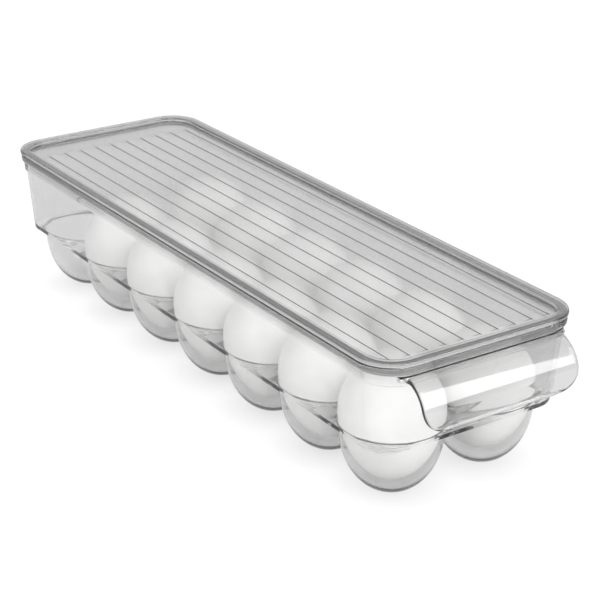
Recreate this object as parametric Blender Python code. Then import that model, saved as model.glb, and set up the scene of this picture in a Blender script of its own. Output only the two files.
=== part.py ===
"""Covered egg bin for a refrigerator: a clear moulded tray with fourteen egg cups, its lid, and twelve eggs.

Metres, +Z up. The long side runs along Y, with the handle at -Y. The origin is under the middle of the
whole object, on the surface that the cups stand on.
"""

import math

import bmesh
import bpy

# Cups, in two rows of seven
CUP_ROWS = 2
CUPS_PER_ROW = 7
FILLED_PER_ROW = 6  # the rear pair of cups is empty
CUP_PITCH = 0.0464
ROW_OFFSET = 0.0246
CUP_RADIUS = 0.0231
CUP_BULGE = 2.12  # exponent of the bowl's curve: 2 is an ellipse, more is fuller
MOUTH_RADIUS = 0.0227
THROAT_RADIUS = 0.0220
FOOT_RADIUS = 0.0050
FLOOR_THICKNESS = 0.0018

# Heights above the surface that the cups stand on
DECK_UNDERSIDE = 0.0310
DECK_TOP = 0.0330
COLLAR_FOOT = 0.0640
BEAD_FOOT = 0.0688
TRAY_TOP = 0.0726

# Tray walls, as half widths in X, and how far in the walls lie from the lid's edge
LID_HALF_WIDTH = 0.0540
LID_HALF_LENGTH = 0.1710
LID_CORNER = 0.0177
BEAD_INSET = 0.0005
COLLAR_INSET = 0.0018
WALL_TOP_INSET = 0.0028
WALL_FOOT_INSET = (0.0047, 0.0067)  # across and along: the end walls lean more
RIM_INNER_INSET = 0.0036
WALL_THICKNESS = 0.0018
EDGE_ROUND = 0.0008

# Handle: a curved apron across the front end
HANDLE_REACH = 0.0124  # past the lid's front edge
HANDLE_DROP = 0.0163
HANDLE_TOP = 0.0675
HANDLE_CURL = 0.0045
HANDLE_CURL_BACK = 0.0015
HANDLE_HALF_WIDTH = 0.0411
HANDLE_FLARE = 0.0032
HANDLE_FLARE_LENGTH = 0.0050
HANDLE_CORNER = 0.0115
HANDLE_THICKNESS = 0.0020

# Lid
GAP = 0.0003  # between pieces that rest on each other
LID_EDGE = 0.0020
RIM_WIDTH = 0.0055
PANEL_TOP = 0.0726
PANEL_THICKNESS = 0.0018
PLUG_INSET = 0.0043
RIB_COUNT = 10
RIB_PITCH = 0.0093
RIB_WIDTH = 0.0012
RIB_HEIGHT = 0.0014
RIB_FRONT_MARGIN = 0.0107
RIB_REAR_MARGIN = 0.0245

# Eggs, pointed end down
EGG_RADIUS = 0.0226
EGG_BELOW = 0.0325
EGG_ABOVE = 0.0250
EGG_WIDEST = 0.0370
EGG_POINT = 1.88  # exponent of the lower half: under 2 draws it to a point

# Fineness
ROUND_STEPS = 20
CORNER_STEPS = 6
BOWL_STEPS = 4

BODY_Y = HANDLE_REACH / 2  # the tray's middle, so that the whole length is centred on the origin
LID_TOP = TRAY_TOP + GAP + LID_EDGE


def clear_scene():
    """Remove every object in the file."""
    for obj in list(bpy.data.objects):
        bpy.data.objects.remove(obj, do_unlink=True)


def material(name, colour, roughness, transmission=0.0, ior=1.5):
    """A Principled material."""
    made = bpy.data.materials.new(name)
    made.use_nodes = True
    shader = made.node_tree.nodes["Principled BSDF"]
    shader.inputs["Base Color"].default_value = (*colour, 1.0)
    shader.inputs["Roughness"].default_value = roughness
    shader.inputs["Metallic"].default_value = 0.0
    shader.inputs["Transmission Weight"].default_value = transmission
    shader.inputs["IOR"].default_value = ior
    return made


def new_object(name, bm, surface, location=(0.0, 0.0, 0.0)):
    """Turn a bmesh into an object shaded smooth, with its faces pointing out."""
    bmesh.ops.recalc_face_normals(bm, faces=bm.faces)
    mesh = bpy.data.meshes.new(name)
    bm.to_mesh(mesh)
    bm.free()
    mesh.shade_smooth()
    mesh.set_sharp_from_angle(angle=math.radians(35))
    mesh.materials.append(surface)
    obj = bpy.data.objects.new(name, mesh)
    obj.location = location
    bpy.context.collection.objects.link(obj)
    return obj


def helper(obj):
    """Mark an object as a shape that only serves a Boolean."""
    obj.hide_render = True
    obj.display_type = "WIRE"
    return obj


def join(target, other):
    """Unite another closed shape with this one."""
    modifier = target.modifiers.new("join_" + other.name, "BOOLEAN")
    modifier.operation = "UNION"
    modifier.solver = "EXACT"
    modifier.object = other


def rounded_loop(half_x, half_y, radius, z):
    """Points of a rectangle with round corners, anticlockwise from above."""
    points = []
    for quarter, (side_x, side_y) in enumerate(((1, 1), (-1, 1), (-1, -1), (1, -1))):
        for step in range(CORNER_STEPS + 1):
            angle = (quarter + step / CORNER_STEPS) * math.pi / 2
            x = side_x * (half_x - radius) + radius * math.cos(angle)
            y = side_y * (half_y - radius) + radius * math.sin(angle)
            points.append((x, y, z))
    return points


def inset_loop(inset, z):
    """The lid's outline moved in by inset, which is one number or one across and one along."""
    across, along = inset if isinstance(inset, tuple) else (inset, inset)
    corner = LID_CORNER - min(across, along)
    return rounded_loop(LID_HALF_WIDTH - across, LID_HALF_LENGTH - along, corner, z)


def circle(x, y, radius, z):
    """Points of a level circle, anticlockwise from above."""
    angles = (2 * math.pi * step / ROUND_STEPS for step in range(ROUND_STEPS))
    return [(x + radius * math.cos(a), y + radius * math.sin(a), z) for a in angles]


def add_ring(bm, points):
    """Vertices at these points."""
    return [bm.verts.new(point) for point in points]


def bridge(bm, lower, upper):
    """Faces between two rings of as many vertices."""
    for i, corner in enumerate(lower):
        after = (i + 1) % len(lower)
        bm.faces.new((corner, lower[after], upper[after], upper[i]))


def skin(bm, loops):
    """Rings through the loops, bridged in order."""
    rings = [add_ring(bm, loop) for loop in loops]
    for lower, upper in zip(rings, rings[1:]):
        bridge(bm, lower, upper)
    return rings


def ring_edges(bm, ring):
    """The edges round a ring, made where they are missing."""
    edges = []
    for i, start in enumerate(ring):
        end = ring[(i + 1) % len(ring)]
        edges.append(bm.edges.get((start, end)) or bm.edges.new((start, end)))
    return edges


def fill_between(bm, outline, holes):
    """A level face inside the outline, with the holes left open."""
    edges = ring_edges(bm, outline)
    for hole in holes:
        edges += ring_edges(bm, hole)
    bmesh.ops.triangle_fill(bm, use_beauty=True, edges=edges)


def cup_centres(per_row=CUPS_PER_ROW):
    """Centres of the cups, front to rear, the -X row first."""
    first = -(CUPS_PER_ROW - 1) / 2 * CUP_PITCH
    for row in range(CUP_ROWS):
        for place in range(per_row):
            yield (2 * row - 1) * ROW_OFFSET, first + place * CUP_PITCH


def bowl_profile(radius, top, bottom, end_radius):
    """(radius, height) down a bowl: a superellipse from its widest at top to a flat disc at bottom."""
    last = math.acos((end_radius / radius) ** (CUP_BULGE / 2))
    profile = []
    for step in range(BOWL_STEPS + 1):
        turn = last * step / BOWL_STEPS
        across = radius * math.cos(turn) ** (2 / CUP_BULGE)
        down = (math.sin(turn) / math.sin(last)) ** (2 / CUP_BULGE)
        profile.append((across, top + (bottom - top) * down))
    return profile


def bowl(bm, x, y, profile):
    """A bowl open at its top, closed by a disc at its foot. Gives the ring at its mouth."""
    rings = skin(bm, [circle(x, y, radius, z) for radius, z in profile])
    bm.faces.new(rings[-1])
    return rings[0]


def tray_walls():
    """Loops from the deck's underside up the outer face, over the rim and down the inner face."""
    foot_across, foot_along = WALL_FOOT_INSET
    underside = (foot_across + EDGE_ROUND, foot_along + EDGE_ROUND)
    inner_foot = (foot_across + WALL_THICKNESS, foot_along + WALL_THICKNESS)
    return [
        inset_loop(underside, DECK_UNDERSIDE),
        inset_loop(WALL_FOOT_INSET, DECK_UNDERSIDE + EDGE_ROUND),
        inset_loop(WALL_TOP_INSET, COLLAR_FOOT - EDGE_ROUND),
        inset_loop(COLLAR_INSET, COLLAR_FOOT),
        inset_loop(COLLAR_INSET, BEAD_FOOT),
        inset_loop(BEAD_INSET, BEAD_FOOT + EDGE_ROUND),
        inset_loop(BEAD_INSET, TRAY_TOP - EDGE_ROUND),
        inset_loop(BEAD_INSET + EDGE_ROUND, TRAY_TOP),
        inset_loop(RIM_INNER_INSET, TRAY_TOP),
        inset_loop(WALL_TOP_INSET + WALL_THICKNESS, COLLAR_FOOT),
        inset_loop(inner_foot, DECK_TOP),
    ]


def make_tray(surface):
    """The tray in one moulding: walls and rim, a flat deck, and a round-bottomed cup for each egg."""
    bm = bmesh.new()
    walls = skin(bm, tray_walls())
    outside = bowl_profile(CUP_RADIUS, DECK_UNDERSIDE, 0.0, FOOT_RADIUS)
    throat = DECK_TOP - 2 * FLOOR_THICKNESS
    halfway = (MOUTH_RADIUS + THROAT_RADIUS) / 2
    inside = [(MOUTH_RADIUS, DECK_TOP), (halfway, throat + FLOOR_THICKNESS)]
    inside += bowl_profile(THROAT_RADIUS, throat, FLOOR_THICKNESS, FOOT_RADIUS)
    outer_mouths = [bowl(bm, x, y, outside) for x, y in cup_centres()]
    inner_mouths = [bowl(bm, x, y, inside) for x, y in cup_centres()]
    fill_between(bm, walls[0], outer_mouths)
    fill_between(bm, walls[-1], inner_mouths)
    return new_object("tray", bm, surface, (0.0, BODY_Y, 0.0))


def handle_half_width(z, past_root):
    """Half the apron's width: flared into the collar at its root, a quarter circle at each lower corner."""
    lowest = HANDLE_TOP - HANDLE_DROP - HANDLE_CURL
    flare = HANDLE_FLARE * max(1 - past_root / HANDLE_FLARE_LENGTH, 0.0) ** 3
    into_corner = min(max(lowest + HANDLE_CORNER - z, 0.0), HANDLE_CORNER)
    return HANDLE_HALF_WIDTH + flare - HANDLE_CORNER + math.sqrt(HANDLE_CORNER**2 - into_corner**2)


def handle_profile():
    """(y, z, half width) down the apron's outer face: a quarter ellipse, then a short curl back."""
    root = -LID_HALF_LENGTH + COLLAR_INSET
    reach = HANDLE_REACH + COLLAR_INSET
    steps = 9
    for step in range(steps + 1):
        turn = math.pi / 2 * step / steps
        out = reach * math.sin(turn)
        z = HANDLE_TOP - HANDLE_DROP * (1 - math.cos(turn))
        yield root - out, z, handle_half_width(z, out)
    steps = 4
    for step in range(1, steps + 1):
        turn = math.pi / 2 * step / steps
        z = HANDLE_TOP - HANDLE_DROP - HANDLE_CURL * math.sin(turn)
        yield root - reach + HANDLE_CURL_BACK * (1 - math.cos(turn)), z, handle_half_width(z, reach)


def make_handle(surface):
    """The apron as a closed plate, row by row down from its root, which is buried in the collar."""
    profile = list(handle_profile())
    columns = 4
    rows = []
    for i, (y, z, half) in enumerate(profile):
        before, after = profile[max(i - 1, 0)], profile[min(i + 1, len(profile) - 1)]
        along_y, along_z = after[0] - before[0], after[1] - before[1]
        length = math.hypot(along_y, along_z)
        inward = (-along_z / length, along_y / length)
        rows.append((y, z, y + inward[0] * HANDLE_THICKNESS, z + inward[1] * HANDLE_THICKNESS, half))
    first = rows[0]
    rows.insert(0, (first[0] + 0.0012, first[1], first[2] + 0.0012, first[3], first[4]))
    bm = bmesh.new()
    loops = []
    for outer_y, outer_z, inner_y, inner_z, half in rows:
        across = [half * (2 * c / columns - 1) for c in range(columns + 1)]
        loop = [(x, outer_y, outer_z) for x in across]
        loop += [(x, inner_y, inner_z) for x in reversed(across)]
        loops.append(loop)
    rings = skin(bm, loops)
    bm.faces.new(rings[0])
    bm.faces.new(rings[-1])
    return helper(new_object("handle_blank", bm, surface, (0.0, BODY_Y, 0.0)))


def make_lid(surface):
    """The lid: a flat rim that lies on the tray, and a panel let into it that drops into the mouth."""
    low = PANEL_TOP - PANEL_THICKNESS
    rest = TRAY_TOP + GAP
    loops = [
        inset_loop(PLUG_INSET, low),
        inset_loop(PLUG_INSET, rest),
        inset_loop(EDGE_ROUND / 2, rest),
        inset_loop(0.0, rest + EDGE_ROUND / 2),
        inset_loop(0.0, LID_TOP - EDGE_ROUND),
        inset_loop(EDGE_ROUND, LID_TOP),
        inset_loop(RIM_WIDTH - EDGE_ROUND / 2, LID_TOP),
        inset_loop(RIM_WIDTH, PANEL_TOP),
    ]
    bm = bmesh.new()
    shifted = [[(x, y, z - rest) for x, y, z in loop] for loop in loops]
    rings = skin(bm, shifted)
    bm.faces.new(rings[0])
    bm.faces.new(rings[-1])
    return new_object("lid", bm, surface, (0.0, BODY_Y, rest))


def make_ribs(surface):
    """Thin parallel ribs with rounded ends, which stand on the lid's panel."""
    front = -LID_HALF_LENGTH + RIB_FRONT_MARGIN
    rear = LID_HALF_LENGTH - RIB_REAR_MARGIN
    end_steps = 4
    sunk = PANEL_TOP - PANEL_THICKNESS / 2
    bm = bmesh.new()
    for rib in range(RIB_COUNT):
        x = (rib - (RIB_COUNT - 1) / 2) * RIB_PITCH
        outline = []
        for y, start in ((rear, 0.0), (front, math.pi)):
            for step in range(end_steps + 1):
                angle = start + math.pi * step / end_steps
                outline.append((x + RIB_WIDTH / 2 * math.cos(angle), y + RIB_WIDTH / 2 * math.sin(angle)))
        loops = [[(px, py, z) for px, py in outline] for z in (sunk, PANEL_TOP + RIB_HEIGHT)]
        rings = skin(bm, loops)
        bm.faces.new(rings[0])
        bm.faces.new(rings[-1])
    return helper(new_object("rib_blanks", bm, surface, (0.0, BODY_Y, 0.0)))


def egg_profile():
    """(radius, height) from the egg's point to its blunt end, its widest level at 0."""
    steps = 5
    for step in range(steps, 0, -1):
        turn = math.pi / 2 * step / (steps + 0.5)
        down = EGG_BELOW * math.sin(turn) ** (2 / EGG_POINT) / math.sin(math.pi / 2 * steps / (steps + 0.5))
        yield EGG_RADIUS * math.cos(turn) ** (2 / EGG_POINT), -down
    steps = 4
    for step in range(steps + 1):
        turn = math.pi / 2 * step / (steps + 0.5)
        up = EGG_ABOVE * math.sin(turn) / math.sin(math.pi / 2 * steps / (steps + 0.5))
        yield EGG_RADIUS * math.cos(turn), up


def make_eggs(surface):
    """One egg in each filled cup. They share a mesh."""
    bm = bmesh.new()
    rings = skin(bm, [circle(0.0, 0.0, radius, z) for radius, z in egg_profile()])
    bm.faces.new(rings[0])
    bm.faces.new(rings[-1])
    centres = list(cup_centres(FILLED_PER_ROW))
    x, y = centres[0]
    first = new_object("egg_01", bm, surface, (x, y + BODY_Y, EGG_WIDEST))
    for number, (x, y) in enumerate(centres[1:], start=2):
        egg = bpy.data.objects.new(f"egg_{number:02d}", first.data)
        egg.location = (x, y + BODY_Y, EGG_WIDEST)
        bpy.context.collection.objects.link(egg)


clear_scene()
CLEAR_TRAY = material("clear_tray_plastic", (0.90, 0.91, 0.92), 0.06, 0.9, 1.57)
CLEAR_LID = material("clear_lid_plastic", (0.82, 0.83, 0.84), 0.06, 0.9, 1.57)
EGGSHELL = material("white_eggshell", (0.86, 0.85, 0.83), 0.45)

tray = make_tray(CLEAR_TRAY)
join(tray, make_handle(CLEAR_TRAY))
lid = make_lid(CLEAR_LID)
join(lid, make_ribs(CLEAR_LID))
make_eggs(EGGSHELL)
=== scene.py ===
import math

import bmesh
import bpy
import numpy as np
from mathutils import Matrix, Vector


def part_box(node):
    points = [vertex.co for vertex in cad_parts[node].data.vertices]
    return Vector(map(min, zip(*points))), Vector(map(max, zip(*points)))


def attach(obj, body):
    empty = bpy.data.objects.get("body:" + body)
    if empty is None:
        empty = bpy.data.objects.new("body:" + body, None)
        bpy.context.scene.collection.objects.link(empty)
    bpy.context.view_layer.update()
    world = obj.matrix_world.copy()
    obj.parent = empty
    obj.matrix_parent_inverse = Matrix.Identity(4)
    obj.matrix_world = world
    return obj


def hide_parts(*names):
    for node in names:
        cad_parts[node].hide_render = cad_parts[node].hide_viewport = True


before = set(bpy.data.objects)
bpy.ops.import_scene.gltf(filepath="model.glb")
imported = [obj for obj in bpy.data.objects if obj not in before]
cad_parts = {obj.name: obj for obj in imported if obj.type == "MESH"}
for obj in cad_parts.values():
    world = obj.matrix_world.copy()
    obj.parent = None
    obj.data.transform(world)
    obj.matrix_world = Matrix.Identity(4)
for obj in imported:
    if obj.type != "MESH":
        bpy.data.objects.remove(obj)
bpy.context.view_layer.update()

# -----------------------------------------------------------------------------------------------------
# Tray. One injection moulding in clear PET: drafted walls with a thicker collar and a rim flange round
# their top, and a flat deck from which fourteen round-bottomed egg cups hang. All lengths are
# millimetres, and each mesh is turned into metres as it is made.
# -----------------------------------------------------------------------------------------------------
MM = 0.001
lid_low, lid_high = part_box("lid")
MIDDLE_Y = (lid_low.y + lid_high.y) / 2 / MM
HALF_WIDTH = (lid_high.x - lid_low.x) / 2 / MM
HALF_LENGTH = (lid_high.y - lid_low.y) / 2 / MM
CORNER_RADIUS = 17.7
CORNER_STEPS, END_STEPS, SIDE_STEPS = 12, 18, 40

DECK_UNDERSIDE, DECK_TOP = 31.0, 33.0
COLLAR_FOOT, COLLAR_INSET = 64.1, 1.8
RIM_UNDERSIDE, RIM_TOP, RIM_INSET = 69.2, 72.6, 0.5
WINDOW_LOW, WINDOW_HIGH = 66.3, 68.3  # the window left open in the collar's skin, where the pull grows out


def outline(across, along, height):
    """The bin's outline from above at one height, moved in by across at its sides and along at its ends.

    It is a rectangle whose corners are quarter circles. It runs anticlockwise from the rear right corner,
    and every outline has its points in the same order, so that a wall can be skinned between two of them.
    """
    radius = CORNER_RADIUS - min(across, along)
    corner = np.array([HALF_WIDTH - across - radius, HALF_LENGTH - along - radius])
    quarter = np.linspace(0, np.pi / 2, CORNER_STEPS + 1)
    arcs = []
    for turn, side in enumerate(((1, 1), (-1, 1), (-1, -1), (1, -1))):
        angle = quarter + turn * np.pi / 2
        arcs.append(corner * side + radius * np.column_stack([np.cos(angle), np.sin(angle)]))
    points = []
    for arc, following, steps in zip(arcs, arcs[1:] + arcs[:1], (END_STEPS, SIDE_STEPS) * 2):
        points += [arc, np.linspace(arc[-1], following[0], steps + 1)[1:-1]]
    flat = np.concatenate(points)
    return np.column_stack([flat[:, 0], flat[:, 1] + MIDDLE_Y, np.full(len(flat), height)])


def rounded_path(corners, steps=4):
    """A path through corner points, each given with how far from the corner its rounding starts.

    The rounding is a quadratic curve from a point on the leg before the corner to one on the leg after
    it, with the corner as its control point. The first and last points are kept.
    """
    corners = np.array(corners, float)
    place, reach = corners[:, :-1], corners[1:-1, -1:]
    here, before, after = place[1:-1], place[:-2], place[2:]
    start = here + (before - here) * reach / np.linalg.norm(before - here, axis=1, keepdims=True)
    end = here + (after - here) * reach / np.linalg.norm(after - here, axis=1, keepdims=True)
    t = np.linspace(0, 1, steps + 1)[None, :, None]
    bent = (1 - t) ** 2 * start[:, None] + 2 * t * (1 - t) * here[:, None] + t**2 * end[:, None]
    return np.concatenate([place[:1], bent.reshape(-1, place.shape[1]), place[-1:]])


def ring_faces(rings, steps):
    """Four-sided faces between rings of as many points, each ring closed on itself."""
    ring, step = np.meshgrid(np.arange(rings - 1), np.arange(steps), indexing="ij")
    after = (step + 1) % steps
    faces = np.stack([ring * steps + step, ring * steps + after,
                      (ring + 1) * steps + after, (ring + 1) * steps + step], axis=-1)
    return faces.reshape(-1, 4)


def grid_faces(rows, columns):
    """Four-sided faces between neighbouring points of an open grid of rows and columns."""
    row, step = np.meshgrid(np.arange(rows - 1), np.arange(columns - 1), indexing="ij")
    corner = row * columns + step
    faces = np.stack([corner, corner + columns, corner + columns + 1, corner + 1], axis=-1)
    return faces.reshape(-1, 4)


def pole_faces(ring_start, steps, pole):
    """Three-sided faces from the points of a closed ring to one pole."""
    step = np.arange(steps)
    return np.column_stack([ring_start + step, ring_start + (step + 1) % steps, np.full(steps, pole)])


def joined(parts):
    """One array of points and one list of face arrays from several parts, each a pair of such things."""
    points, faces, count = [], [], 0
    for part_points, part_faces in parts:
        part_points = part_points.reshape(-1, 3)
        points.append(part_points)
        faces += [group + count for group in part_faces]
        count += len(part_points)
    return np.concatenate(points), faces


SAME_PLACE = 2e-7  # metres
SAME_HEIGHT = 0.001  # millimetres


def make_piece(name, points, faces, fill_heights=()):
    """An object at the origin from points in millimetres and faces in groups of three or four corners.

    Points in the same place become one. At each fill height the open edges are closed by a level face.
    The faces are turned to point out, and a Weighted Normal keeps the level parts flat up to their
    rounded edges.
    """
    corners = np.concatenate([group.ravel() for group in faces])
    sizes = np.concatenate([np.full(len(group), group.shape[1]) for group in faces])
    mesh = bpy.data.meshes.new(name)
    mesh.vertices.add(len(points))
    mesh.vertices.foreach_set("co", (points * MM).astype(np.float32).ravel())
    mesh.loops.add(len(corners))
    mesh.loops.foreach_set("vertex_index", corners.astype(np.int32))
    mesh.polygons.add(len(sizes))
    mesh.polygons.foreach_set("loop_start", (np.cumsum(sizes) - sizes).astype(np.int32))
    mesh.update(calc_edges=True)
    bm = bmesh.new()
    bm.from_mesh(mesh)
    bmesh.ops.remove_doubles(bm, verts=bm.verts, dist=SAME_PLACE)
    bmesh.ops.dissolve_degenerate(bm, dist=SAME_PLACE / 2, edges=bm.edges)
    for height in fill_heights:
        level = [edge for edge in bm.edges if edge.is_boundary
                 and all(abs(corner.co.z / MM - height) < SAME_HEIGHT for corner in edge.verts)]
        bmesh.ops.triangle_fill(bm, use_beauty=True, edges=level)
    bmesh.ops.recalc_face_normals(bm, faces=bm.faces)
    bm.to_mesh(mesh)
    bm.free()
    mesh.shade_smooth()
    piece = bpy.data.objects.new(name, mesh)
    bpy.context.collection.objects.link(piece)
    weighted = piece.modifiers.new("level_parts_flat", "WEIGHTED_NORMAL")
    weighted.mode, weighted.weight, weighted.keep_sharp = "FACE_AREA", 60, False
    return piece


# (inset at the sides, inset at the ends, height, rounding) up the outside of the wall, over the rim and
# down the inside. The three rows of the window are rounded by next to nothing.
wall_path = rounded_path([
    (6.4, 8.4, DECK_UNDERSIDE, 0),
    (4.7, 6.7, DECK_UNDERSIDE, 0.9),
    (2.8, 2.8, COLLAR_FOOT - 0.5, 0.4),
    (COLLAR_INSET, COLLAR_INSET, COLLAR_FOOT, 0.4),
    (COLLAR_INSET, COLLAR_INSET, WINDOW_LOW, 0.01),
    (COLLAR_INSET, COLLAR_INSET, (WINDOW_LOW + WINDOW_HIGH) / 2, 0.01),
    (COLLAR_INSET, COLLAR_INSET, WINDOW_HIGH, 0.01),
    (COLLAR_INSET, COLLAR_INSET, RIM_UNDERSIDE - 0.4, 0.3),
    (RIM_INSET, RIM_INSET, RIM_UNDERSIDE, 1.0),
    (RIM_INSET, RIM_INSET, RIM_TOP, 1.5),
    (3.6, 3.6, RIM_TOP, 0.7),
    (4.5, 4.5, COLLAR_FOOT - 0.1, 1.5),
    (6.1, 8.1, DECK_TOP, 0.4),
    (6.6, 8.6, DECK_TOP, 0),
])
wall_rings = np.array([outline(*row) for row in wall_path])
WALL_STEPS = wall_rings.shape[1]

# The cups: superellipse bowls with a flat foot, whose mouths flare a little where they meet the deck.
CUP_PITCH, ROW_OFFSET, CUPS_PER_ROW = 46.4, 24.6, 7
CUP_RADIUS, THROAT_RADIUS, MOUTH_RADIUS, FOOT_RADIUS = 23.12, 22.25, 22.75, 5.0
CUP_BULGE, THROAT_HEIGHT, CUP_FLOOR = 2.12, 29.4, 1.1
CUP_STEPS, BOWL_RINGS = 96, 22


def cup_centres():
    """The middles of the cups, as an array: the -X row from front to rear, then the +X row."""
    place = (np.arange(CUPS_PER_ROW) - (CUPS_PER_ROW - 1) / 2) * CUP_PITCH + MIDDLE_Y
    x = np.repeat([-ROW_OFFSET, ROW_OFFSET], CUPS_PER_ROW)
    return np.column_stack([x, np.tile(place, 2)])


def bowl_curve(radius, top, bottom):
    """(radius, height) down a bowl whose section is a superellipse, ending at the flat foot's edge.

    Across is radius times cos(turn) ** (2 / bulge), and down is sin(turn) ** (2 / bulge), scaled so that
    the foot is level with bottom. The rings crowd a little towards the top.
    """
    last = math.acos((FOOT_RADIUS / radius) ** (CUP_BULGE / 2))
    turn = last * np.linspace(0, 1, BOWL_RINGS) ** 1.15
    across = radius * np.cos(turn) ** (2 / CUP_BULGE)
    down = (np.sin(turn) / math.sin(last)) ** (2 / CUP_BULGE)
    return np.column_stack([across, top + (bottom - top) * down])


def turned(curve, x, y, steps):
    """A curve of (radius, height) turned about the upright line at x, y, closed by a pole at its end."""
    angle = np.arange(steps) * 2 * np.pi / steps
    ring = np.stack([x + curve[:, :1] * np.cos(angle), y + curve[:, :1] * np.sin(angle),
                     np.repeat(curve[:, 1:], steps, axis=1)], axis=-1)
    points = np.concatenate([ring.reshape(-1, 3), [[x, y, curve[-1, 1]]]])
    faces = [ring_faces(len(curve), steps), pole_faces((len(curve) - 1) * steps, steps, len(points) - 1)]
    return points, faces


outer_bowl = bowl_curve(CUP_RADIUS, DECK_UNDERSIDE, 0.0)
flare = rounded_path([(MOUTH_RADIUS, DECK_TOP, 0), (MOUTH_RADIUS - 0.15, DECK_TOP - 0.15, 0.1),
                      (THROAT_RADIUS + 0.1, THROAT_HEIGHT + 1.0, 0.9), (THROAT_RADIUS, THROAT_HEIGHT, 0)])
inner_bowl = np.concatenate([flare[:-1], bowl_curve(THROAT_RADIUS, THROAT_HEIGHT, CUP_FLOOR)])

# The front pull: a curved apron 2 mm thick that grows out of the collar, reaches forward, turns down and
# curls back a little at its lower edge. It has a slightly thicker pad in the middle of its lower half.
PULL_REACH, PULL_DROP = 14.2, 17.1
PULL_CURL, PULL_CURL_BACK = 4.5, 1.5
PULL_HALF_WIDTH, PULL_CORNER, PULL_THICKNESS, PULL_EDGE_ROUNDING = 41.1, 11.5, 2.0, 0.45
PULL_FLARE, PULL_FLARE_REACH = 3.2, 5.0
PULL_PAD_HALF_WIDTH, PULL_PAD_HEIGHT, PULL_PAD_TOP, PULL_PAD_SLOPE = 24.0, 0.35, 55.5, 1.5
PULL_STEPS, CURL_STEPS = 30, 8
WINDOW_CORNER_STEPS = 4  # how far the window reaches round each corner

# The window's place among the outline's points and the wall's rows
front_arc = 2 * (CORNER_STEPS + 1) + (END_STEPS - 1) + (SIDE_STEPS - 1)
window_left = front_arc + CORNER_STEPS - WINDOW_CORNER_STEPS
window_right = front_arc + CORNER_STEPS + END_STEPS + WINDOW_CORNER_STEPS
heights = wall_path[:, 2]
outside = np.arange(len(wall_path)) < np.argmax(heights)
beyond = 0.02  # a little more than the rounding of the window's rows
window_rows = np.flatnonzero(outside & (heights > WINDOW_LOW - beyond) & (heights < WINDOW_HIGH + beyond))
window = wall_rings[window_rows[0]:window_rows[-1] + 1, window_left:window_right + 1]


def pull_rows():
    """(y, height, half width) along the middle line of the pull's outer face, from its root down.

    A quarter ellipse runs out from the collar and down, in steps that grow away from the collar, then a
    quarter of a flatter one curls back. The half width flares into the collar at the root, by the cube of
    how near the root it is, and follows a quarter circle at the lower corners.
    """
    root = MIDDLE_Y - HALF_LENGTH + COLLAR_INSET
    turn = np.pi / 2 * np.linspace(0, 1, PULL_STEPS + 1)[1:] ** 1.4
    curl = np.linspace(0, np.pi / 2, CURL_STEPS + 1)[1:]
    y = np.concatenate([root - PULL_REACH * np.sin(turn),
                        root - PULL_REACH + PULL_CURL_BACK * (1 - np.cos(curl))])
    z = np.concatenate([WINDOW_HIGH - PULL_DROP * (1 - np.cos(turn)),
                        WINDOW_HIGH - PULL_DROP - PULL_CURL * np.sin(curl)])
    flare = PULL_FLARE * np.clip(1 - (root - y) / PULL_FLARE_REACH, 0, 1) ** 3
    into_corner = np.clip(z[-1] + PULL_CORNER - z, 0, PULL_CORNER)
    half = PULL_HALF_WIDTH + flare - PULL_CORNER + np.sqrt(PULL_CORNER**2 - into_corner**2)
    return y, z, half


def pull_skin():
    """The pull as rings round the plate from the window in the collar to its lower edge, and a grid there.

    Each ring goes along the outer face, down one side, back along the inner face and up the other side.
    The inner face is the outer one moved by the thickness along the curve's own normal. Half a circle
    rounds the plate's sides, and the rows between the faces stand lower at its lower edge.
    """
    y, z, half = pull_rows()
    slope = np.stack([np.gradient(y), np.gradient(z)])
    slope /= np.linalg.norm(slope, axis=0)
    inward = np.stack([-slope[1], slope[0]])
    columns = window[0, :, 0] / abs(window[0, :, 0]).max()
    deep = np.arange(window.shape[0]) / (window.shape[0] - 1)
    y, z, half = y[:, None, None], z[:, None, None], half[:, None, None]
    x = half * columns
    on_pad = np.clip((PULL_PAD_HALF_WIDTH - abs(x)) / PULL_PAD_SLOPE, 0, 1)
    on_pad = on_pad * np.clip((PULL_PAD_TOP - z) / PULL_PAD_SLOPE, 0, 1)
    moved = (PULL_THICKNESS + PULL_PAD_HEIGHT * on_pad) * deep[:, None]
    rounding = PULL_THICKNESS / 2 * (1 - np.sqrt(1 - (2 * deep[:, None] - 1) ** 2))
    grid = np.stack([x * (1 - rounding / half), y + inward[0][:, None, None] * moved,
                     z + inward[1][:, None, None] * moved], axis=-1)
    grid[-1, 1:-1, :, 2] -= PULL_EDGE_ROUNDING
    rings = np.concatenate([window[None, ::-1], grid])
    edge = [rings[:, 0], rings[:, 1:-1, -1], rings[:, -1, ::-1], rings[:, -2:0:-1, 0]]
    loops = np.concatenate(edge, axis=1)
    end = rings[-1]
    return [(loops, [ring_faces(*loops.shape[:2])]), (end, [grid_faces(*end.shape[:2])])]


wall_faces = ring_faces(*wall_rings.shape[:2])
face_row, face_step = wall_faces[:, 0] // WALL_STEPS, wall_faces[:, 0] % WALL_STEPS
in_window = ((face_row >= window_rows[0]) & (face_row < window_rows[-1])
             & (face_step >= window_left) & (face_step < window_right))
tray_parts = [(wall_rings, [wall_faces[~in_window]])] + pull_skin()
for cup_x, cup_y in cup_centres():
    tray_parts += [turned(bowl, cup_x, cup_y, CUP_STEPS) for bowl in (outer_bowl, inner_bowl)]
tray = make_piece("tray_moulding", *joined(tray_parts), fill_heights=(DECK_UNDERSIDE, DECK_TOP))


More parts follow.
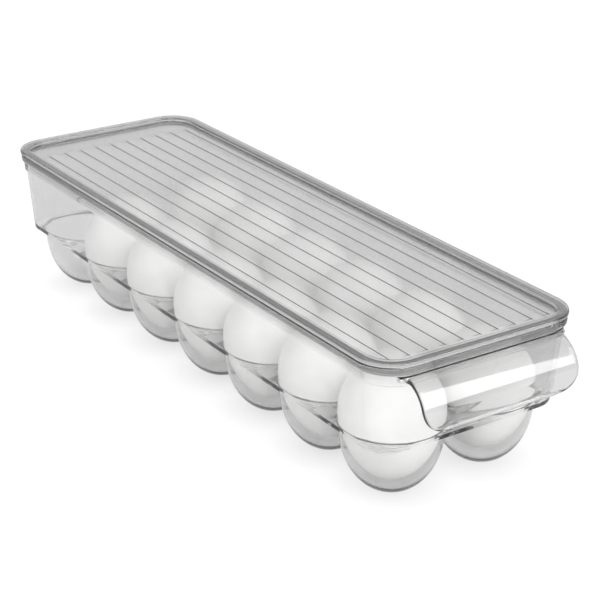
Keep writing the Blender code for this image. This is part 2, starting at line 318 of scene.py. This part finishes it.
def colour(code):
    """A linear colour from sRGB hex: ((v + 0.055) / 1.055) to the power 2.4, or v / 12.92 where dark."""
    values = [int(code[i:i + 2], 16) / 255 for i in (1, 3, 5)]
    return (*[v / 12.92 if v <= 0.04045 else ((v + 0.055) / 1.055) ** 2.4 for v in values], 1.0)


def bare_tree(owner):
    """The emptied node tree of a new material or world."""
    owner.use_nodes = True
    owner.node_tree.nodes.clear()
    return owner.node_tree


def add_node(tree, kind, values=(), links=(), stops=(), **settings):
    """Adds a node, sets its properties and its sockets' values, and links (socket, source socket) pairs.

    stops are the (place from 0 to 1, sRGB hex) pairs of a colour ramp.
    """
    node = tree.nodes.new(kind)
    for key, value in settings.items():
        setattr(node, key, value)
    for socket, value in dict(values).items():
        node.inputs[socket].default_value = value
    for socket, source in links:
        tree.links.new(source, node.inputs[socket])
    for number, (place, code) in enumerate(stops):
        elements = node.color_ramp.elements
        stop = elements[number] if number < len(elements) else elements.new(place)
        stop.position, stop.color = place, colour(code)
    return node


BAND_LOW, BAND_HIGH = 60, 75
LAMP_TINT, PLASTIC_ABSORB, PLASTIC_DENSITY = "#F6F6F6", "#BBBBBB", 26.0


def clear_plastic(name, painted_shade_bands, roughness, wave, wave_size, grain, grain_size):
    """Moulded clear plastic: polished and colourless, greyer where the eye looks along more of it. Painted
    shade greys its colour by height.

    painted_shade_bands are (height in millimetres, sRGB hex) pairs from BAND_LOW to BAND_HIGH: painted
    shade, how grey one passage through a surface is painted at each height. wave is the height in metres
    of the mould's slow unevenness, and wave_size its width in millimetres. grain and grain_size are the
    same for the fine texture, and the roughness varies with it. Lamps shine through, because clear plastic
    casts almost no shadow.
    """
    made = bpy.data.materials.new(name)
    tree = bare_tree(made)
    place = add_node(tree, "ShaderNodeTexCoord")
    slow = add_node(tree, "ShaderNodeTexNoise",
                    {"Scale": 1000 / wave_size, "Detail": 2.0, "Roughness": 0.45},
                    [("Vector", place.outputs["Object"])])
    fine = add_node(tree, "ShaderNodeTexNoise",
                    {"Scale": 1000 / grain_size, "Detail": 3.0, "Roughness": 0.6},
                    [("Vector", place.outputs["Object"])])
    unevenness = add_node(tree, "ShaderNodeBump", {"Strength": 1.0, "Distance": wave},
                          [("Height", slow.outputs["Fac"])])
    texture = add_node(tree, "ShaderNodeBump", {"Strength": 1.0, "Distance": grain},
                       [("Height", fine.outputs["Fac"]), ("Normal", unevenness.outputs["Normal"])])
    gloss = add_node(tree, "ShaderNodeMapRange", {"To Min": roughness * 0.7, "To Max": roughness * 1.3},
                     [("Value", fine.outputs["Fac"])])
    # Painted shade: the surface colour is greyed by height, for the darker look of a thick collar or rim.
    height = add_node(tree, "ShaderNodeSeparateXYZ", links=[("Vector", place.outputs["Object"])])
    level = add_node(tree, "ShaderNodeMapRange", {"From Min": BAND_LOW * MM, "From Max": BAND_HIGH * MM},
                     [("Value", height.outputs["Z"])])
    grey = add_node(tree, "ShaderNodeValToRGB", links=[("Fac", level.outputs["Result"])],
                    stops=[((at - BAND_LOW) / (BAND_HIGH - BAND_LOW), code) for at, code in painted_shade_bands])
    shader = add_node(tree, "ShaderNodeBsdfPrincipled", {"IOR": 1.57, "Transmission Weight": 1.0},
                      [("Base Color", grey.outputs["Color"]), ("Roughness", gloss.outputs["Result"]),
                       ("Normal", texture.outputs["Normal"])])
    lamp = add_node(tree, "ShaderNodeLightPath")
    passing = add_node(tree, "ShaderNodeBsdfTransparent", {"Color": colour(LAMP_TINT)})
    seen = add_node(tree, "ShaderNodeMixShader", links=[("Fac", lamp.outputs["Is Shadow Ray"]),
                                                        (1, shader.outputs["BSDF"]),
                                                        (2, passing.outputs["BSDF"])])
    body = add_node(tree, "ShaderNodeVolumeAbsorption",
                    {"Color": colour(PLASTIC_ABSORB), "Density": PLASTIC_DENSITY})
    add_node(tree, "ShaderNodeOutputMaterial", links=[("Surface", seen.outputs["Shader"]),
                                                      ("Volume", body.outputs["Volume"])])
    return made


# PET straight from a polished mould is water-clear. Its colour is painted a faint grey, greyer up the
# collar and most in the thick rim: painted shade for the light lost along the flange.
tray.data.materials.append(clear_plastic(
    "moulded_clear_pet", painted_shade_bands=[(63.5, "#F2F2F2"), (68.8, "#DEDEDE"), (69.6, "#909090")],
    roughness=0.05, wave=0.00003, wave_size=34.0, grain=0.0000004, grain_size=0.7))
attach(tray, "tray")
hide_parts("tray")

# -----------------------------------------------------------------------------------------------------
# Lid. A second clear moulding, laid loose on the tray: its rim lies on the tray's rim, and its panel is
# let into the mouth. Ten thin ribs run along the panel; its fine satin texture blurs what is under it, and
# its painted grey greys it.
# -----------------------------------------------------------------------------------------------------
LID_REST, LID_TOP, PANEL_TOP, PANEL_LOW = 72.9, 74.9, 72.6, 70.8
RIB_COUNT, RIB_PITCH, RIB_HEIGHT = 10, 9.3, 0.3
RIB_FRONT, RIB_REAR = 10.7, 24.5  # the ribs' ends, from the lid's front and rear edges
RIB_FLAT, RIB_FOOT = 0.10, 0.36  # half the width of a rib's flat top, and of its foot

# (inset at the sides, inset at the ends, height, rounding) from under the panel, round the rim to its top
lid_path = rounded_path([
    (6.5, 6.5, PANEL_LOW, 0),
    (4.3, 4.3, PANEL_LOW, 0.4),
    (4.2, 4.2, LID_REST, 0.25),
    (0.0, 0.0, LID_REST, 0.9),
    (0.0, 0.0, LID_TOP, 1.0),
    (5.1, 5.1, LID_TOP, 0.6),
    (5.6, 5.6, PANEL_TOP, 0.5),
    (6.5, 6.5, PANEL_TOP, 0),
], steps=6)
lid_rings = np.array([outline(*row) for row in lid_path])


def ribbed_field():
    """The panel's ribbed middle as heights over a grid whose lines crowd together at each rib.

    A rib is all points near a straight line. Its height falls from full at RIB_FLAT from that line to
    nothing at RIB_FOOT, as the smooth step 3t^2 - 2t^3.
    """
    offsets = np.array([0.0, 0.05, RIB_FLAT, 0.15, 0.2, 0.25, 0.3, RIB_FOOT])  # from a rib's line
    near = np.concatenate([-offsets[:0:-1], offsets])
    lines = (np.arange(RIB_COUNT) - (RIB_COUNT - 1) / 2) * RIB_PITCH
    x = (lines[:, None] + near).ravel()
    front, rear = -HALF_LENGTH + RIB_FRONT, HALF_LENGTH - RIB_REAR
    y = np.concatenate([front + near, np.linspace(front, rear, 12)[1:-1], rear + near])
    grid_x, grid_y = np.meshgrid(x, y, indexing="ij")
    aside = abs(grid_x - np.repeat(lines, len(near))[:, None])
    past = np.maximum(np.maximum(front - grid_y, grid_y - rear), 0)
    t = np.clip((RIB_FOOT - np.hypot(aside, past)) / (RIB_FOOT - RIB_FLAT), 0, 1)
    height = PANEL_TOP + RIB_HEIGHT * t * t * (3 - 2 * t)
    points = np.stack([grid_x, grid_y + MIDDLE_Y, height], axis=-1)
    return points, [grid_faces(len(x), len(y))]


lid_parts = [(lid_rings, [ring_faces(*lid_rings.shape[:2])]), ribbed_field()]
lid = make_piece("lid_moulding", *joined(lid_parts), fill_heights=(PANEL_LOW, PANEL_TOP))
# The lid's mould is finely textured, which blurs what is seen through the panel, and its colour is painted
# grey, which greys it. Its rim is painted greyer again, as painted shade, as the tray's is.
# Painted shade: the lid's colour is painted grey, and greyer at its rim.
lid.data.materials.append(clear_plastic(
    "moulded_clear_pet_satin", painted_shade_bands=[(73.3, "#D5D5D5"), (74.0, "#ACACAC")],
    roughness=0.10, wave=0.00004, wave_size=26.0, grain=0.000002, grain_size=0.8))
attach(lid, "lid")
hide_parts("lid")

# -----------------------------------------------------------------------------------------------------
# Eggs. Twelve white hen's eggs stand loose in the cups, pointed end down. The shell is matt chalk,
# slightly translucent, with fine pores. No two eggs are quite the same size, and each leans a little.
# -----------------------------------------------------------------------------------------------------
EGG_RADIUS, EGG_BELOW, EGG_ABOVE, EGG_WIDEST = 22.6, 32.5, 25.2, 37.0
EGG_POINT = 1.88
EGG_SIZES, EGG_LENGTHS, EGG_LEAN = (0.985, 1.0), (0.92, 1.0), 1.2  # shares of full size, and degrees
EGG_RINGS, EGG_STEPS = 48, 72
FILLED_PER_ROW = 6
CLOUD_SIZE, ROLL_SIZE, PORE_SPACING = 11.1, 3.85, 0.625
draw = np.random.default_rng(7)


def egg_surface(x, y, size, length, lean, lean_way):
    """An egg: ellipsoid above its widest level, and a superellipse of lower exponent, EGG_POINT, below it.

    It leans by a small angle about a level axis through the middle of its widest level: each point keeps
    its share along that axis and turns in the plane across it.
    """
    turn = np.linspace(-np.pi / 2, np.pi / 2, EGG_RINGS + 1)
    power = np.where(turn < 0, 2 / EGG_POINT, 1.0)
    across = EGG_RADIUS * size * np.maximum(np.cos(turn), 0) ** power
    up = np.where(turn < 0, -EGG_BELOW * abs(np.sin(turn)) ** power, EGG_ABOVE * np.sin(turn)) * length
    angle = np.arange(EGG_STEPS) * 2 * np.pi / EGG_STEPS
    ring = np.stack([across[1:-1, None] * np.cos(angle), across[1:-1, None] * np.sin(angle),
                     np.repeat(up[1:-1, None], EGG_STEPS, axis=1)], axis=-1).reshape(-1, 3)
    points = np.concatenate([ring, [[0, 0, up[0]], [0, 0, up[-1]]]])
    axis = np.array([math.cos(lean_way), math.sin(lean_way), 0.0])
    along = (points @ axis)[:, None] * axis
    points = (points - along) * math.cos(lean) + np.cross(axis, points) * math.sin(lean) + along
    points = points + [x, y, EGG_WIDEST]
    last = (EGG_RINGS - 2) * EGG_STEPS
    faces = [ring_faces(EGG_RINGS - 1, EGG_STEPS), pole_faces(0, EGG_STEPS, len(ring))[:, ::-1],
             pole_faces(last, EGG_STEPS, len(ring) + 1)]
    return points, faces


def eggshell():
    """White eggshell: chalky matt, with fine pores, a gently rolling surface and faint clouds of white."""
    made = bpy.data.materials.new("white_eggshell")
    tree = bare_tree(made)
    place = add_node(tree, "ShaderNodeTexCoord")
    clouds = add_node(tree, "ShaderNodeTexNoise",
                      {"Scale": 1000 / CLOUD_SIZE, "Detail": 4.0, "Roughness": 0.6},
                      [("Vector", place.outputs["Object"])])
    shade = add_node(tree, "ShaderNodeValToRGB", links=[("Fac", clouds.outputs["Fac"])],
                     stops=[(0.3, "#EEEEED"), (0.7, "#F6F6F5")])
    pores = add_node(tree, "ShaderNodeTexVoronoi", {"Scale": 1000 / PORE_SPACING, "Randomness": 1.0},
                     [("Vector", place.outputs["Object"])])
    pits = add_node(tree, "ShaderNodeMapRange", {"From Min": 0.0, "From Max": 0.35},
                    [("Value", pores.outputs["Distance"])], interpolation_type="SMOOTHSTEP")
    rolling = add_node(tree, "ShaderNodeTexNoise", {"Scale": 1000 / ROLL_SIZE, "Detail": 3.0},
                       [("Vector", place.outputs["Object"])])
    undulating = add_node(tree, "ShaderNodeBump", {"Strength": 1.0, "Distance": 0.00005},
                          [("Height", rolling.outputs["Fac"])])
    pitted = add_node(tree, "ShaderNodeBump", {"Strength": 1.0, "Distance": 0.000002},
                      [("Height", pits.outputs["Result"]), ("Normal", undulating.outputs["Normal"])])
    gloss = add_node(tree, "ShaderNodeMapRange", {"To Min": 0.42, "To Max": 0.6},
                     [("Value", clouds.outputs["Fac"])])
    shader = add_node(tree, "ShaderNodeBsdfPrincipled",
                      {"Subsurface Weight": 0.15, "Subsurface Radius": (1.0, 0.92, 0.85),
                       "Subsurface Scale": 0.002, "IOR": 1.45},
                      [("Base Color", shade.outputs["Color"]), ("Roughness", gloss.outputs["Result"]),
                       ("Normal", pitted.outputs["Normal"])])
    add_node(tree, "ShaderNodeOutputMaterial", links=[("Surface", shader.outputs["BSDF"])])
    return made


shell = eggshell()
filled = cup_centres().reshape(2, CUPS_PER_ROW, 2)[:, :FILLED_PER_ROW].reshape(-1, 2)
for number, (egg_x, egg_y) in enumerate(filled, start=1):
    size, length = draw.uniform(*EGG_SIZES), draw.uniform(*EGG_LENGTHS)
    lean, lean_way = math.radians(draw.uniform(0.0, EGG_LEAN)), draw.uniform(0, 2 * math.pi)
    egg = make_piece(f"egg_shell_{number:02d}", *egg_surface(egg_x, egg_y, size, length, lean, lean_way))
    egg.data.materials.append(shell)
    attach(egg, f"egg_{number:02d}")
    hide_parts(f"egg_{number:02d}")

# -----------------------------------------------------------------------------------------------------
# Surroundings: a sheet of white acrylic lit from below, four soft boxes, a white surround and a still
# camera. The sheet glows nearly as white as the surround, so the bin stands on white with a faint shadow,
# partly cast and partly painted.
# -----------------------------------------------------------------------------------------------------
FLOOR_HALF = 3000.0
floor_points = np.array([[-1, -1, 0], [1, -1, 0], [1, 1, 0], [-1, 1, 0]], float) * FLOOR_HALF
floor = make_piece("floor", floor_points, [np.array([[0, 1, 2, 3]])])

# The sheet glows less for what is seen through the plastic than for the camera, and a painted contact
# shadow dims its glow close to whatever stands on it.
white_acrylic = bpy.data.materials.new("backlit_white_acrylic")
tree = bare_tree(white_acrylic)
path = add_node(tree, "ShaderNodeLightPath")
glow = add_node(tree, "ShaderNodeMapRange", {"To Min": 0.58, "To Max": 0.80},
                [("Value", path.outputs["Is Camera Ray"])])
# Painted contact shadow: ambient occlusion dims the glow to 0.78 close to whatever stands on the sheet.
painted_contact_shadow = add_node(tree, "ShaderNodeAmbientOcclusion", {"Distance": 0.015}, samples=12)
near = add_node(tree, "ShaderNodeMapRange", {"To Min": 0.78, "To Max": 1.0},
                [("Value", painted_contact_shadow.outputs["AO"])])
lit = add_node(tree, "ShaderNodeMath", operation="MULTIPLY",
               links=[(0, glow.outputs["Result"]), (1, near.outputs["Result"])])
shader = add_node(tree, "ShaderNodeBsdfPrincipled",
                  {"Base Color": colour("#7C7C7C"), "Roughness": 0.9, "Emission Color": colour("#FFFFFF")},
                  [("Emission Strength", lit.outputs["Value"])])
add_node(tree, "ShaderNodeOutputMaterial", links=[("Surface", shader.outputs["BSDF"])])
floor.data.materials.append(white_acrylic)

# The surround is white behind the bin, dims to a quarter in front of it and to less than a half overhead,
# where grey cards shape the reflections. The camera itself sees it burnt out to white all round.
world = bpy.data.worlds.new("white_surround")
tree = bare_tree(world)
place = add_node(tree, "ShaderNodeTexCoord")
way = add_node(tree, "ShaderNodeSeparateXYZ", links=[("Vector", place.outputs["Generated"])])
behind = add_node(tree, "ShaderNodeMapRange",
                  {"From Min": -0.4, "From Max": 0.2, "To Min": 0.25, "To Max": 1.1},
                  [("Value", way.outputs["Y"])], interpolation_type="SMOOTHSTEP")
above = add_node(tree, "ShaderNodeMapRange",
                 {"From Min": 0.5, "From Max": 0.95, "To Min": 1.0, "To Max": 0.4},
                 [("Value", way.outputs["Z"])], interpolation_type="SMOOTHSTEP")
cards = add_node(tree, "ShaderNodeMath", operation="MULTIPLY",
                 links=[(0, behind.outputs["Result"]), (1, above.outputs["Result"])])
path = add_node(tree, "ShaderNodeLightPath")
burnt_out = add_node(tree, "ShaderNodeMath", operation="MAXIMUM",
                     links=[(0, cards.outputs["Value"]), (1, path.outputs["Is Camera Ray"])])
light = add_node(tree, "ShaderNodeBackground", {"Color": colour("#FFFFFF")},
                 [("Strength", burnt_out.outputs["Value"])])
add_node(tree, "ShaderNodeOutputWorld", links=[("Surface", light.outputs["Background"])])
bpy.context.scene.world = world


def soft_box(name, place, target, across, upright, watts):
    """A soft light across by upright metres in size, at a place in metres, that faces a target.

    It tips from straight down by the angle at which the target lies, then turns to the target's bearing.
    """
    data = bpy.data.lights.new(name, "AREA")
    data.shape, data.size, data.size_y, data.energy = "RECTANGLE", across, upright, watts
    box = bpy.data.objects.new(name, data)
    from_here = np.array(target, float) - np.array(place, float)
    box.location = place
    box.rotation_euler = (math.atan2(math.hypot(from_here[0], from_here[1]), -from_here[2]), 0.0,
                          math.atan2(from_here[1], from_here[0]) - math.pi / 2)
    bpy.context.collection.objects.link(box)


soft_box("overhead_box", (-0.3, 0.0, 1.5), (0.0, 0.0, 0.0), 1.4, 1.4, 9.0)
soft_box("left_box", (-1.5, -0.3, 0.6), (0.0, 0.0, 0.03), 1.2, 1.0, 4.5)
soft_box("front_box", (0.65, -1.7, 1.1), (0.0, -0.1, 0.05), 1.4, 1.6, 28.0)
soft_box("front_left_box", (-1.0, -1.5, 1.1), (0.0, 0.0, 0.03), 1.4, 1.2, 16.0)

bpy.context.scene.view_settings.view_transform = "Standard"
camera_data = bpy.data.cameras.new("camera")
camera_data.lens, camera_data.sensor_width = 107.45, 36.0
camera_data.clip_start, camera_data.clip_end = 0.05, 20.0
camera = bpy.data.objects.new("camera", camera_data)
camera.location = (-0.43536, -0.67842, 0.38112)
camera.rotation_euler = (math.radians(90 - 23.306), 0.0, math.radians(-33.696))
bpy.context.collection.objects.link(camera)
bpy.context.scene.camera = camera
